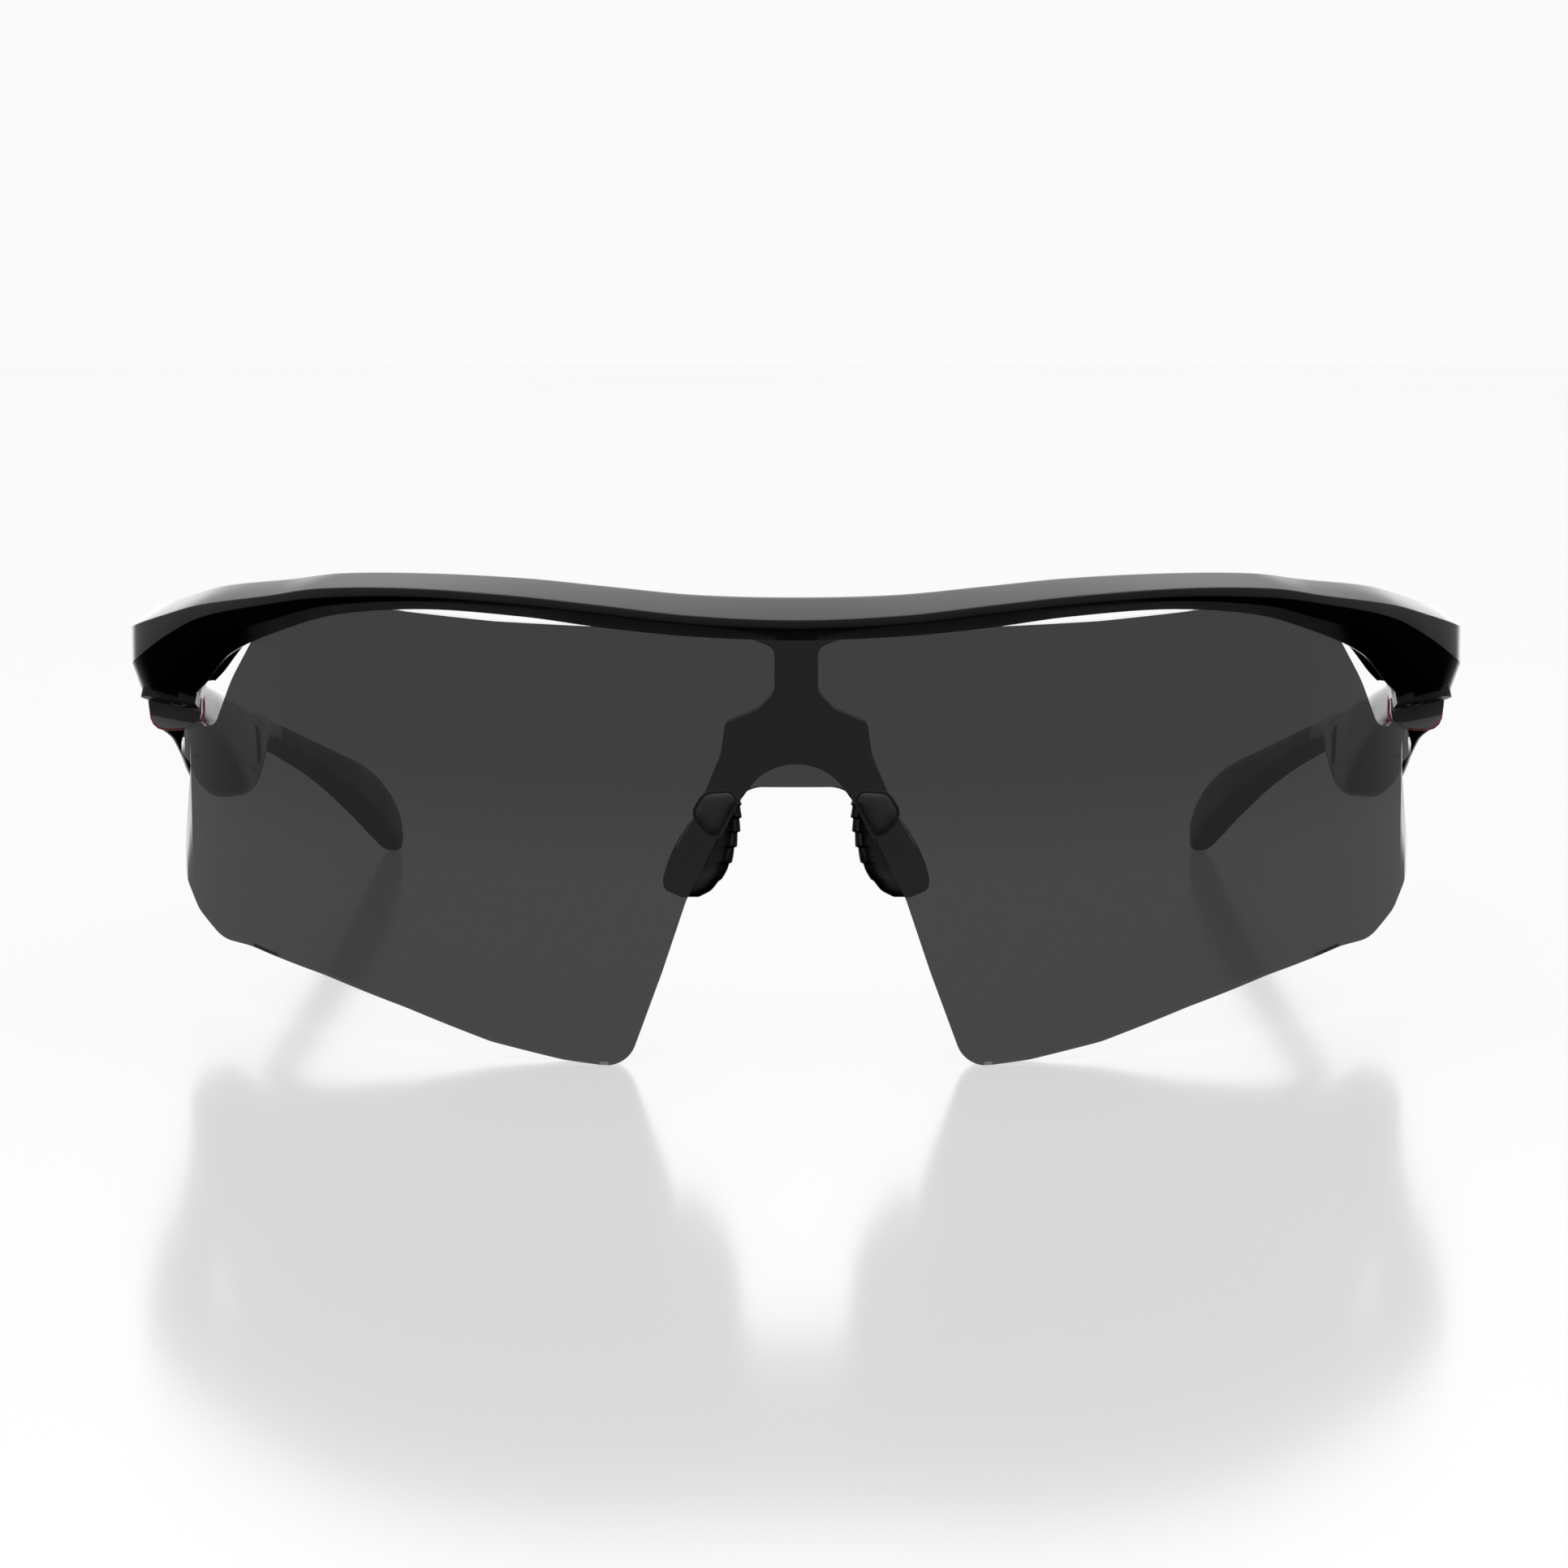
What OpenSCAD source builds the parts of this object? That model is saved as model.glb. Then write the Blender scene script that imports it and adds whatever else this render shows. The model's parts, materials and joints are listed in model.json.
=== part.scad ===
// Wraparound sport sunglasses: one shield lens, a half frame over its top edge,
// a nose bridge with soft pads, and two folding temples that plug into their hinges.
// X runs across the face, the front faces -Y, and +Z is up.
// The left side, as the wearer sees it, is +X. The right side is its mirror image.

/* [Lens] */
// Radius of the lens's outer face
lens_r = 74; // [73.8:0.1:74.2]
// Thickness of the lens
lens_t = 2; // [1.8:0.1:2]
// Angle at which the lens ends, from straight ahead
lens_end = 70; // [69.5:0.1:70.2]
// Play between the lens and its groove
lens_play = 0.1; // [0.05:0.05:0.15]

/* [Brow] */
// How far the brow's back face stands behind the lens
brow_back = 1.7; // [1.5:0.1:1.9]
// Depth of the groove above the brow's lower edge
groove_depth = 1.6; // [1.4:0.1:1.8]
// Angle at which the brow ends, from straight ahead
brow_end = 73.5; // [72.5:0.5:74]

/* [Nose] */
// Thickness of the nose bridge
bridge_t = 2.4; // [2:0.1:2.8]
// Thickness of a nose pad
pad_t = 2.4; // [2.2:0.1:2.6]
// Width of a nose pad
pad_w = 10; // [9.5:0.1:10.2]
// Thickness of the lens clips
clip_t = 0.9; // [0.7:0.1:1]

/* [Hinge] */
// Lean of the hinge axis towards the nose
lean_in = 11; // [10:0.5:12]
// Lean of the hinge axis towards the back
lean_back = 14; // [13.5:0.5:14.5]
// Radius of the hinge ears
ear_r = 2.4; // [2.2:0.1:2.4]
// Radius of the hinge screw's shank
pin_r = 0.7; // [0.6:0.05:0.75]
// Radial clearance round the shank in the knuckle
pin_play = 0.05; // [0.03:0.01:0.08]

/* [Temple] */
// Lean of the temple housing from the hinge axis
pod_lean = 15; // [14:0.5:16]
// Wall thickness of the temple housing
wall = 1.1; // [1:0.05:1.2]
// Radius of the temple's core rod
core_r = 0.8; // [0.7:0.05:0.9]

/* [Hidden] */

// The object's box is centred on the origin, so everything moves forward by this much
centre_y = 76.43;
// A point on the left hinge's axis, level with the top of the screw head
hinge_at = [69.4, 46.3, 32.9];
fine = 96;

// Levels along the hinge axis
ear_low = -0.45;
ear_t = 1.2;
ear_gap = 0.1;
ear_reach = 1.8;
tongue_t = 1.8;
tongue_low = ear_low + ear_t + ear_gap;
ear_high = tongue_low + tongue_t + ear_gap;
lug_top = ear_high + ear_t;
root_front = -4.2;
root_back = -2.6;
root_w = 2;

// Places along the temple, from the hinge axis
knuckle_from = ear_r + 0.35;
knuckle_to = 4.8;
seal_t = 0.25;
seal_proud = 0.18;
pod_from = knuckle_to + seal_t + 0.05;
window_from = 15;
window_to = 39;
sleeve_from = 53;
temple_to = 113;
core_from = 48;
core_to = 103;
plug_from = 4.2;
plug_to = 11.4;
plug_play = 0.1;
core_play = 0.02;

// Brow stations: angle, stand-off from the lens, then the heights of the top ridge, the crease
// under it, the front face's lower edge, the chamfer's lower edge, the bottom in front of the
// lens and the bottom behind it, then the width of the chamfer
brow_stations = [
    [-8, 3.0, 48.7, 46.8, 45.9, 45.6, 44.4, 44.4, 0.4],
    [0, 3.0, 48.5, 46.4, 45.5, 45.2, 44.1, 44.1, 0.4],
    [8, 3.0, 48.7, 46.8, 45.9, 45.6, 44.4, 44.4, 0.4],
    [15, 3.1, 49.4, 47.7, 46.8, 46.4, 45.1, 45.2, 0.5],
    [22, 3.1, 50.0, 48.4, 47.5, 47.1, 46.0, 46.2, 0.5],
    [31, 3.2, 50.1, 48.7, 47.8, 47.3, 46.3, 46.5, 0.5],
    [40, 3.3, 49.6, 48.1, 47.1, 46.2, 45.2, 46.0, 0.6],
    [46, 3.4, 48.6, 46.9, 46.0, 44.4, 43.4, 45.0, 0.7],
    [56, 3.9, 47.1, 45.0, 43.6, 41.2, 39.4, 42.8, 1.2],
    [62, 4.7, 45.5, 43.3, 40.9, 37.5, 35.2, 40.3, 1.5],
    [67, 5.4, 44.1, 41.9, 38.3, 34.5, 32.9, 38.9, 1.5],
    [71, 5.2, 43.3, 41.1, 36.9, 33.0, 32.2, 38.5, 1.4],
    [74, 4.5, 43.0, 40.9, 36.4, 32.7, 32.0, 38.4, 1.3]
];

// Temple stations: distance from the hinge, centre across and up, half width, half height
temple_stations = [
    [3, 0.8, 0.4, 2.9, 2.8],
    [4.7, 0.7, 0.3, 3.0, 2.9],
    [9.7, -0.3, -0.2, 2.8, 3.4],
    [15.7, -1.0, -1.0, 3.1, 4.2],
    [26, -1.6, -1.9, 3.6, 5.5],
    [36, -2.3, -1.6, 3.4, 5.4],
    [41, -3.3, 0.3, 2.8, 3.5],
    [46, -4.2, 2.1, 2.1, 1.6],
    [54, -5.5, 2.1, 1.9, 1.55],
    [75, -10.2, 0.7, 1.9, 2.15],
    [93, -14.2, -1.4, 2.0, 3.4],
    [103, -16.3, -3.55, 1.9, 3.5],
    [110, -17.4, -5.35, 1.5, 2.6],
    [113, -17.9, -6.2, 0.5, 1.0]
];

// Nose pad stations: share of its length, centre, half width share, half thickness share
pad_stations = [
    [0, 6.5, 5.6, 27.5, 0.16, 0.5],
    [0.15, 6.9, 6.6, 26.4, 0.55, 0.85],
    [0.45, 7.5, 8.3, 23.2, 0.9, 1],
    [0.75, 8.6, 9.4, 19.6, 1, 1],
    [0.93, 10.1, 9.9, 17.2, 0.75, 0.8],
    [1, 10.8, 10.1, 16.3, 0.25, 0.4]
];

// ---- Curves ----

// The segment of a station list that holds u
function seg(st, u, i = 0) = (i >= len(st) - 2 || u <= st[i + 1][0]) ? i : seg(st, u, i + 1);

// The slope of column k at station i
function slope(st, i, k) =
    let (a = max(i - 1, 0), b = min(i + 1, len(st) - 1))
    (st[b][k] - st[a][k]) / (st[b][0] - st[a][0]);

// Smooth values of all columns at u
function along(st, u) =
    let (i = seg(st, u), h = st[i + 1][0] - st[i][0], t = (u - st[i][0]) / h)
    let (q = 2 * t * t * t - 3 * t * t + 1, r = t * t * t - 2 * t * t + t, s = t * t * t - t * t)
    [for (k = [1 : len(st[0]) - 1])
        q * st[i][k] + (1 - q) * st[i + 1][k] + h * (r * slope(st, i, k) + s * slope(st, i + 1, k))];

// A power that keeps the sign
function spow(v, p) = sign(v) * pow(abs(v), p);

// A rounded rectangle of n points, given by its half sizes; p is 1 for an ellipse
function squircle(hw, hh, n, p = 0.62) =
    [for (k = [0 : n - 1]) [hw * spow(cos(360 * k / n), p), hh * spow(sin(360 * k / n), p)]];

// Points of an arc that rounds the corner b between a and c
function corner(a, b, c, r) =
    let (u = (a - b) / norm(a - b), v = (c - b) / norm(c - b))
    let (half = acos(u * v) / 2, d = r / tan(half), m = b + (u + v) / norm(u + v) * r / sin(half))
    let (from = b + u * d - m, to = b + v * d - m)
    let (turn = from[0] * to[1] - from[1] * to[0], sweep = sign(turn) * acos(from * to / r / r))
    [for (k = [0 : 6]) let (w = sweep * k / 6)
        m + [from[0] * cos(w) - from[1] * sin(w), from[0] * sin(w) + from[1] * cos(w)]];

// An outline from corners [x, z, radius]
function rounded(list) =
    let (n = len(list))
    [for (i = [0 : n - 1])
        let (b = list[i], a = list[(i + n - 1) % n], c = list[(i + 1) % n])
        each (b[2] <= 0 ? [[b[0], b[1]]]
            : corner([a[0], a[1]], [b[0], b[1]], [c[0], c[1]], b[2]))];

// The mirror image of a half outline, added to it
function both_halves(half) = concat(half,
    [for (i = [len(half) - 1 : -1 : 0]) if (half[i][0] > 0) [-half[i][0], half[i][1], half[i][2]]]);

// ---- Shared shapes ----

// A solid through rings of points, closed by flat ends
module loft(rings) {
    n = len(rings[0]);
    m = len(rings);
    polyhedron(
        points = [for (ring = rings) each ring],
        faces = concat(
            [[for (k = [0 : n - 1]) k]],
            [for (j = [0 : m - 2]) for (k = [0 : n - 1])
                [j * n + k, (j + 1) * n + k, (j + 1) * n + (k + 1) % n, j * n + (k + 1) % n]],
            [[for (k = [n - 1 : -1 : 0]) (m - 1) * n + k]]
        ),
        convexity = 6
    );
}

// A curved sheet concentric with the lens, between two radii, cut to an outline
module sheet_of(r_in, r_out, outline, depth = 60) {
    intersection() {
        translate([0, lens_r, 0])
            difference() {
                translate([0, 0, -5])
                    cylinder(r = r_out, h = 65, $fn = 360);
                translate([0, 0, -6])
                    cylinder(r = r_in, h = 67, $fn = 360);
            }
        translate([0, depth, 0])
            rotate([90, 0, 0])
                linear_extrude(height = depth + 5)
                    polygon(outline);
    }
}

// Moves the whole object so that its box is centred
module place() {
    translate([0, -centre_y, 0])
        children();
}

// The left side as drawn, or the right side as its mirror image
module side(s) {
    place()
        mirror([s < 0 ? 1 : 0, 0, 0])
            children();
}

// The left hinge's own frame: Z along the hinge axis, Y along the open temple
module hinge_frame() {
    translate(hinge_at)
        rotate([-lean_back, -lean_in, 0])
            children();
}

// The left temple's own frame: as the hinge's, with the housing's walls upright
module pod_frame() {
    hinge_frame()
        rotate([0, pod_lean, 0])
            children();
}

// A ring of the temple at a distance from the hinge, made smaller by inset
function temple_ring(y, inset = 0, n = 20) =
    let (v = along(temple_stations, y))
    [for (p = squircle(v[2] - inset, v[3] - inset, n)) [v[0] + p[0], y, v[1] - p[1]]];

// The temple's solid between two distances, made smaller by inset
module temple_solid(from, to, inset = 0, steps = 20) {
    loft([for (j = [0 : steps]) temple_ring(from + (to - from) * j / steps, inset)]);
}

// A box with its edges along the temple rounded
module slab(x, y, z, r = 0.5) {
    translate([0, y[1], 0])
        rotate([90, 0, 0])
            linear_extrude(height = y[1] - y[0])
                polygon(rounded([
                    [x[0], z[0], r], [x[1], z[0], r], [x[1], z[1], r], [x[0], z[1], r]
                ]));
}

// ---- Front ----

// The brow's section at an angle from straight ahead
function brow_ring(a) =
    let (v = along(brow_stations, abs(a)), out = lens_r + v[0])
    let (slot_out = lens_r + lens_play, slot_in = lens_r - lens_t - lens_play)
    let (back = lens_r - lens_t - brow_back)
    let (rz = [
        [out - 0.15, v[2]],
        [out, v[2] - 0.25],
        [out, v[3]],
        [out - v[7], v[4]],
        [slot_out + 0.35, v[5]],
        [slot_out, v[5] + 0.1],
        [slot_out, v[5] + groove_depth],
        [slot_in, v[5] + groove_depth],
        [slot_in, min(v[6], v[5] + groove_depth - 0.2)],
        [back + 0.3, v[6]],
        [back, v[6] + 0.4],
        [back, v[1] - 1.5],
        [back + 0.8, v[1] - 0.7],
        [out - 3.2, v[1]]
    ])
    [for (p = rz) [p[0] * sin(a), lens_r - p[0] * cos(a), p[1]]];

// The space that a hinge needs inside the brow's end: the lug's, then the folding knuckle's
module hinge_pocket() {
    hinge_frame() {
        translate([0, 0, ear_low - 8])
            cylinder(r = ear_r + 0.02, h = lug_top - ear_low + 8.05, $fn = fine);
        translate([ear_reach, 0, ear_low - 8])
            cylinder(r = ear_r + 0.02, h = ear_t + 8.02, $fn = fine);
        translate([0, -ear_r - 0.02, ear_low - 8])
            cube([ear_reach, 2 * ear_r + 0.04, ear_t + 8.02]);
        lug_root(0.02);
        translate([-14, -4, -20])
            cube([14 - ear_r, 20, 24.3]);
        translate([-ear_r - 0.1, -ear_r - 0.1, -20])
            cube([ear_r + 0.1, 20, 24.3]);
        translate([-0.1, 0, -20])
            cube([ear_r + 0.1, 20, 24.3]);
        translate([0, knuckle_from - 0.4, -20])
            cube([4.4, 20, 24.3]);
    }
}

module brow_frame() {
    steps = 54;
    color("#141416")
        place()
            difference() {
                loft([for (j = [0 : steps]) brow_ring(brow_end * (2 * j / steps - 1))]);
                hinge_pocket();
                mirror([1, 0, 0])
                    hinge_pocket();
            }
}

// Corners of the lens's right-hand half, seen from the front
lens_half = [
    [0, 29.15, 0], [5.4, 29.15, 3.3], [11.1, 17.7, 12], [13.7, 9.9, 20], [17.4, -0.215, 3.4],
    [24, 0.3, 8], [31.7, 1.6, 8], [41, 4.2, 30], [50.3, 6.35, 30], [59.5, 7.75, 10],
    [63.4, 7.6, 4], [67, 9.8, 3], [69.1, 12.7, 3], [69.1, 16.5, 20], [67.9, 26, 0.5], [69.9, 26.7, 0.7], [68.8, 29.8, 0.9], [64, 31.2, 1.9],
    [61.6, 36.6, 20], [58.6, 41.5, 1], [52, 44.7, 8], [44.4, 46.6, 0.4], [43.4, 46.1, 0.3],
    [31, 45.4, 40], [19.9, 45.2, 0.3], [18.9, 46.3, 0.3], [9, 45.6, 20], [0, 45.3, 0]
];

module lens() {
    color([0.1, 0.1, 0.1, 0.6])
        place()
            difference() {
                sheet_of(lens_r - lens_t, lens_r, rounded(both_halves(lens_half)));
                // The outer ends are cut square to the lens's face
                for (s = [-1, 1])
                    translate([0, lens_r, 0])
                        rotate([0, 0, s * lens_end])
                            translate([-lens_r / 2 + s * lens_r / 2, -lens_r - 5, -5])
                                cube([lens_r, lens_r + 5, 65]);
            }
}

// Corners of the nose bridge's right-hand half: column, shoulder, leg and arch
bridge_half = [
    [0, 44.05, 0], [4.6, 44.05, 0], [2.2, 43.1, 1.1], [2.2, 38.6, 1.6], [3.8, 36.9, 1.5],
    [7.2, 35.4, 0.7], [7.7, 32, 4], [10.4, 25.6, 6], [12.4, 22.2, 1.4], [11.6, 19.6, 1.2],
    [9.2, 21.2, 2], [6.9, 25.8, 3], [3, 31.25, 5.6], [0, 31.25, 0]
];

module nose_bridge() {
    back = lens_r - lens_t - lens_play;
    color("#1c1c1e")
        place()
            difference() {
                sheet_of(back - bridge_t, back, rounded(both_halves(bridge_half)));
                for (s = [0, 1])
                    mirror([s, 0, 0])
                        lens_clip_web(0.05);
            }
}

// Corners of a lens clip's plate, seen from the front
clip_corners = [
    [5.3, 28.9, 0.9], [9.4, 28.8, 1.7], [10.9, 26.2, 1.7], [8.3, 23.5, 0.9]
];

// The web that joins a clip's plate to the bridge, round the lens's nose edge
module lens_clip_web(play = 0) {
    sheet_of(lens_r - lens_t - 0.9 - play, lens_r + 0.3,
        [[5.5 - play, 28.2 + play], [6.1 + play, 28.2 + play], [8.3 + play, 23.9 - play],
        [7.7 - play, 23.9 - play]]);
}

module lens_clip(s) {
    color("#2a2a2c")
        side(s) {
            difference() {
                union() {
                    sheet_of(lens_r + 0.05, lens_r + clip_t, rounded(clip_corners));
                    lens_clip_web();
                }
                sheet_of(lens_r - lens_t - 0.02, lens_r + 0.05, rounded(both_halves(lens_half)));
            }
        }
}

// A ring of the nose pad, made smaller by inset; its width runs outwards and back
function pad_ring(u, inset = 0, n = 16) =
    let (v = along(pad_stations, u), hw = pad_w / 2 * v[3] - inset, ht = pad_t / 2 * v[4] - inset)
    let (wide = [0.62, 0.77, -0.12], thick = [0.77, -0.62, 0.1])
    [for (p = squircle(hw, ht, n, 0.8))
        [v[0], v[1], v[2]] + (p[0] + 1.2 * v[3]) * wide + (p[1] + 0.05 * p[0] * p[0]) * thick];

module nose_pad(s) {
    color("#0c0c0e")
        side(s)
            difference() {
                loft([for (j = [0 : 16]) pad_ring(j / 16)]);
                sheet_of(lens_r - lens_t - lens_play - bridge_t - 0.03, lens_r + 6,
                    rounded(both_halves(bridge_half)));
            }
}

// ---- Hinges ----

// The lower ear reaches outwards so that its edge is flush with the brow
module lower_ear(play = 0) {
    for (x = [0, ear_reach])
        translate([x, 0, ear_low - play])
            cylinder(r = ear_r + play, h = ear_t + 2 * play, $fn = fine);
    translate([0, -ear_r - play, ear_low - play])
        cube([ear_reach, 2 * (ear_r + play), ear_t + 2 * play]);
}

// The root that joins the ears on the side towards the nose and is set into the brow
module lug_root(play = 0) {
    translate([-ear_r - play, root_front - play, ear_low - play])
        cube([root_w + 2 * play, root_back - root_front + 2 * play, lug_top - ear_low + 2 * play]);
    for (low = [ear_low, ear_high])
        translate([-ear_r - play, root_front - play, low - play])
            cube([root_w + 2 * play, -root_front, ear_t + 2 * play]);
}

module hinge_lug(s) {
    color("#2b2b2e")
        side(s)
            hinge_frame()
                difference() {
                    union() {
                        lower_ear();
                        translate([0, 0, ear_high])
                            cylinder(r = ear_r, h = ear_t, $fn = fine);
                        lug_root();
                    }
                    translate([0, 0, ear_low - 1])
                        cylinder(r = pin_r + 0.02, h = 6.5, $fn = fine);
                    translate([0, 0, ear_low - 1])
                        cylinder(r = 1.2, h = 1.5, $fn = fine);
                }
}

module hinge_screw(s) {
    color("#c9cacc")
        side(s)
            hinge_frame()
                difference() {
                    union() {
                        translate([0, 0, ear_low + 0.05])
                            cylinder(r = 1.15, h = 0.43, $fn = fine);
                        translate([0, 0, ear_low + 0.05])
                            cylinder(r = pin_r, h = lug_top - ear_low - 0.15, $fn = fine);
                    }
                    for (turn = [0, 90])
                        rotate([0, 0, turn])
                            translate([-0.7, -0.12, ear_low - 0.1])
                                cube([1.4, 0.24, 0.35]);
                }
}

// The outline that the knuckle, seal and housing share where they meet
module seam_outline(inset = 0) {
    v = along(temple_stations, knuckle_to);
    translate([v[0], v[1]])
        polygon(squircle(v[2] - inset, v[3] - inset, 20));
}

// Extrudes an outline seen from behind along the temple
module along_temple(from, to) {
    translate([0, to, 0])
        rotate([90, 0, 0])
            linear_extrude(height = to - from)
                children();
}

module hinge_knuckle(s) {
    color("#4a4a4d")
        side(s)
            difference() {
                union() {
                    hinge_frame()
                        translate([0, 0, tongue_low]) {
                            cylinder(r = ear_r - 0.1, h = tongue_t, $fn = fine);
                            translate([-ear_r + 0.1, 0, 0])
                                cube([2 * ear_r - 0.2, knuckle_from + 0.5, tongue_t]);
                        }
                    intersection() {
                        pod_frame()
                            along_temple(knuckle_from, knuckle_to)
                                seam_outline();
                        // The front slopes away below the lug
                        hinge_frame()
                            translate([-9, 0, 0])
                                rotate([90, 0, 90])
                                    linear_extrude(height = 18)
                                        polygon([[knuckle_from, ear_low],
                                            [knuckle_to - 0.35, -1.8], [knuckle_to - 0.12, -4],
                                            [knuckle_to + 1, -4], [knuckle_to + 1, 5],
                                            [knuckle_from, 5]]);
                    }
                }
                hinge_frame()
                    translate([0, 0, -2])
                        cylinder(r = pin_r + pin_play, h = 8, $fn = fine);
                pod_frame()
                    plug([plug_from, knuckle_to + 1]);
            }
}

// The contact tongue's shape between two distances, made larger by play
module plug(y, play = 0) {
    slab([-0.9 - play, 0.5 + play], y, [-1.2 - play, 1.2 + play], 0.2);
}

module seal_ring(s) {
    color("#a82333")
        side(s)
            pod_frame()
                along_temple(knuckle_to, knuckle_to + seal_t)
                    difference() {
                        seam_outline(-seal_proud);
                        seam_outline(wall);
                    }
}

module contact_tongue(s) {
    color("#b8a050")
        side(s)
            pod_frame()
                plug([plug_from, plug_to]);
}

module contact_socket(s) {
    color("#303034")
        side(s)
            pod_frame()
                difference() {
                    plug([plug_to - 3.6, plug_to + 0.6], 0.34);
                    plug([pod_from, plug_to + 0.3], plug_play);
                }
}

// ---- Temples ----

// The opening in the housing's inner side, seen from the side
module window(play = 0) {
    translate([-12, 0, 0])
        rotate([90, 0, 90])
            linear_extrude(height = 10)
                polygon(rounded([
                    [window_from - play, -3.4 - play, 1.2], [24, -4.9 - play, 6],
                    [window_to - 2, -4.6 - play, 1.5], [window_to + play, 2.4 + play, 1.4],
                    [window_from - play, 1.7 + play, 1.4]
                ]));
}

// The sound port in the cover
module port(play = 0) {
    translate([-12, 0, 0])
        rotate([90, 0, 90])
            linear_extrude(height = 10)
                polygon(rounded([
                    [33.2 - play, -3.4 - play, 0.6], [36.4 + play, -3.4 - play, 0.6],
                    [36.8 + play, 1.2 + play, 1.5], [33.2 - play, 1.2 + play, 1.5]
                ]));
}

module temple_shell(s) {
    color("#161618")
        side(s)
            pod_frame()
                difference() {
                    temple_solid(pod_from, sleeve_from, 0, 24);
                    temple_solid(pod_from + 1.2, window_to + 1.5, wall, 12);
                    window(0.08);
                    plug([pod_from - 1, pod_from + 2], plug_play);
                    core_rod(core_play);
                }
}

module temple_cover(s) {
    color("#1b1b1d")
        side(s)
            pod_frame()
                difference() {
                    intersection() {
                        temple_solid(window_from - 1, window_to + 1, 0, 12);
                        window(0);
                    }
                    temple_solid(window_from - 2, window_to + 2, wall, 12);
                    port(0.05);
                }
}

module speaker_grille(s) {
    color("#0e0e10")
        side(s)
            pod_frame()
                difference() {
                    intersection() {
                        temple_solid(window_from - 1, window_to + 1, 0.35, 12);
                        port(0);
                    }
                    temple_solid(window_from - 2, window_to + 2, wall, 12);
                    for (j = [0 : 4])
                        translate([-12, 34.3, -2.7 + 0.85 * j])
                            rotate([0, 90, 0])
                                cylinder(r = 0.22, h = 12, $fn = 24);
                    for (j = [0 : 4])
                        translate([-12, 35.4, -2.7 + 0.85 * j])
                            rotate([0, 90, 0])
                                cylinder(r = 0.22, h = 12, $fn = 24);
                }
}

module speaker(s) {
    color("#3a3a3e")
        side(s)
            pod_frame()
                translate([-3.9, 34.9, -1.2]) {
                    rotate([0, 90, 0])
                        cylinder(r = 2.3, h = 2.6, $fn = fine);
                    translate([2.6, -2, -2])
                        cube([0.5, 4, 4]);
                }
}

// The frame of the parts inside the housing, which follows its course
module inside_housing() {
    pod_frame()
        translate([-1, 15.7, -1])
            rotate([-4, 0, 5.2])
                children();
}

module battery(s) {
    color("#8d9196")
        side(s)
            inside_housing()
                slab([-0.8, 1.3], [1.2, 15.4], [-2.5, 2.5], 0.8);
}

module circuit_board(s) {
    color("#1f5a3a")
        side(s)
            inside_housing() {
                slab([-1.8, -1.3], [0.8, 15.6], [-2.1, 2.1], 0.1);
                for (y = [2, 6.5, 11])
                    slab([-1.35, -0.95], [y, y + 2.6], [-1.2, 1.2], 0.1);
            }
}

// The rod that runs from the housing's thin end into the tip, made larger by play
module core_rod(play = 0) {
    reach = [for (y = [core_from : 5 : core_to]) y];
    r = core_r + play;
    loft([for (i = [0 : len(reach) - 1])
        let (v = along(temple_stations, reach[i]))
        let (y = reach[i] + (i == 0 ? -play : 0) + (i == len(reach) - 1 ? play : 0))
        [for (k = [0 : 11]) [v[0] + r * cos(30 * k), y, v[1] - r * sin(30 * k)]]]);
}

module temple_core(s) {
    color("#b9bbbe")
        side(s)
            pod_frame()
                core_rod();
}

module temple_tip(s) {
    color("#101012")
        side(s)
            pod_frame()
                difference() {
                    loft([for (j = [0 : 26])
                        temple_ring(sleeve_from + 0.05 + (temple_to - sleeve_from - 0.05) * sin(90 * j / 26))]);
                    core_rod(core_play);
                }
}

brow_frame();
nose_bridge();
lens();
lens_clip(1);  // lens_clip_left
lens_clip(-1);  // lens_clip_right
nose_pad(1);  // nose_pad_left
nose_pad(-1);  // nose_pad_right
hinge_lug(1);  // hinge_lug_left
hinge_lug(-1);  // hinge_lug_right
hinge_screw(1);  // hinge_screw_left
hinge_screw(-1);  // hinge_screw_right
hinge_knuckle(1);  // hinge_knuckle_left
hinge_knuckle(-1);  // hinge_knuckle_right
seal_ring(1);  // seal_ring_left
seal_ring(-1);  // seal_ring_right
contact_tongue(1);  // contact_tongue_left
contact_tongue(-1);  // contact_tongue_right
contact_socket(1);  // contact_socket_left
contact_socket(-1);  // contact_socket_right
temple_shell(1);  // temple_shell_left
temple_shell(-1);  // temple_shell_right
temple_cover(1);  // temple_cover_left
temple_cover(-1);  // temple_cover_right
speaker_grille(1);  // speaker_grille_left
speaker_grille(-1);  // speaker_grille_right
speaker(1);  // speaker_left
speaker(-1);  // speaker_right
battery(1);  // battery_left
battery(-1);  // battery_right
circuit_board(1);  // circuit_board_left
circuit_board(-1);  // circuit_board_right
temple_core(1);  // temple_core_left
temple_core(-1);  // temple_core_right
temple_tip(1);  // temple_tip_left
temple_tip(-1);  // temple_tip_right
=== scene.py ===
"""Looks of the wraparound sport sunglasses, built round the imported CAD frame.

Pieces that the CAD holds as coarse facets are rebuilt here from the same stations, in millimetres:
the brow, the lens and its clips, the nose pads, the hinge screws, and the temples' shells, covers
and soft tips. Every other node keeps its CAD shape, and most get a fine bevel. The left side, as
the wearer sees it, is +X, and the right side is its mirror image.
"""
import json
import math

import bmesh
import bpy
from mathutils import Matrix, Vector


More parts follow.
